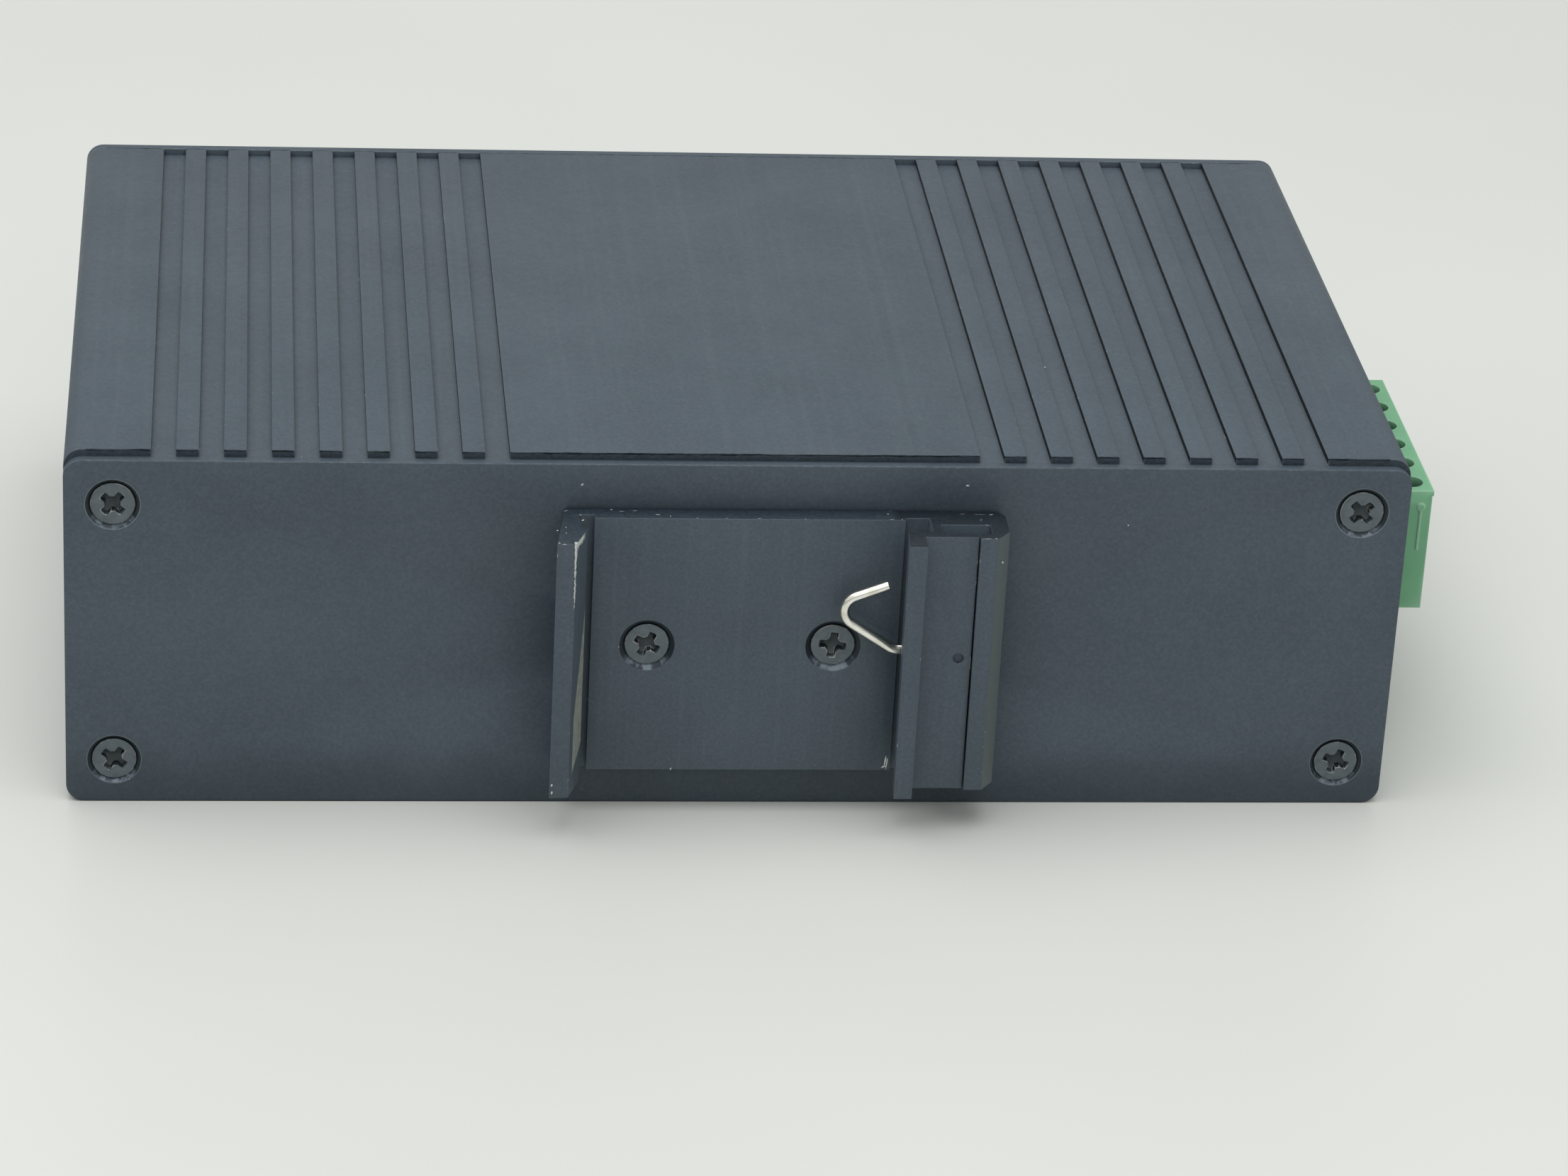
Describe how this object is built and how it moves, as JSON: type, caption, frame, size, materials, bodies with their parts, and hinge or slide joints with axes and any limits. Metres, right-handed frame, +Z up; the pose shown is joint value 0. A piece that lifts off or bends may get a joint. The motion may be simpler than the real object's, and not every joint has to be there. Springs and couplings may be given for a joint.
{
  "type": "din rail ethernet switch",
  "caption": "Box-shaped network switch lying on its side: grooved aluminium housing, rail clip with wire spring at the rear, sockets in front and a green plug-in power terminal.",
  "frame": {"origin": "middle of the flat big face that the housing rests on", "axes": "+X along the housing to the terminal end, +Y from the rail clip to the sockets, +Z up from the resting face to the grooved face"},
  "size_m": [0.1502, 0.0981, 0.0411],
  "materials": {
    "case_coating": "fine matt powder coat, charcoal",
    "screw_black": "black zinc plating",
    "spring_wire": "bright drawn wire",
    "plated_steel": "bright zinc plating",
    "board_laminate": "solder mask over laminate",
    "jack_moulding": "moulded plastic, black",
    "shield_sheet": "nickel plated sheet",
    "contact_gold": "gold plated",
    "lamp_plastic": "tinted clear plastic",
    "terminal_green": "moulded plastic, green",
    "package_black": "moulded package",
    "can_metal": "drawn can",
    "ferrite": "pressed ferrite"
  },
  "bodies": {
    "housing": {"housing_sleeve": "case_coating", "rear_plate": "case_coating", "front_plate": "case_coating", "rear_plate_screws": "screw_black", "front_plate_screws": "screw_black", "din_clip": "case_coating", "clip_screws": "screw_black", "clip_nuts": "plated_steel", "main_board": "board_laminate", "jack_insert_left": "jack_moulding", "jack_insert_right": "jack_moulding", "jack_shield_left": "shield_sheet", "jack_shield_right": "shield_sheet", "jack_contacts_left": "contact_gold", "jack_contacts_right": "contact_gold", "port_leds": "lamp_plastic", "led_holder": "jack_moulding", "status_leds": "lamp_plastic", "terminal_header": "terminal_green", "header_pins": "plated_steel", "switch_chip": "package_black", "memory_chip": "package_black", "crystal": "can_metal", "fault_relay": "package_black", "input_fuse": "package_black", "voltage_regulator": "package_black", "lan_transformers": "package_black", "power_inductor": "ferrite", "input_capacitors": "can_metal"},
    "wire_spring": {"clip_spring": "spring_wire"},
    "power_plug": {"terminal_plug": "terminal_green", "clamp_screws": "plated_steel", "wire_clamps": "plated_steel"}
  },
  "joints": [
    {"name": "spring_flex", "type": "hinge", "parent": "housing", "child": "wire_spring", "pos_m": [0.0196, -0.04845, 0.0209], "axis": [0, 0, -1], "range_deg": [0, 7], "stiffness_Nm_per_rad": 0.25},
    {"name": "plug_pull", "type": "slide", "parent": "housing", "child": "power_plug", "axis": [1, 0, 0], "range_m": [0, 0.012]}
  ]
}
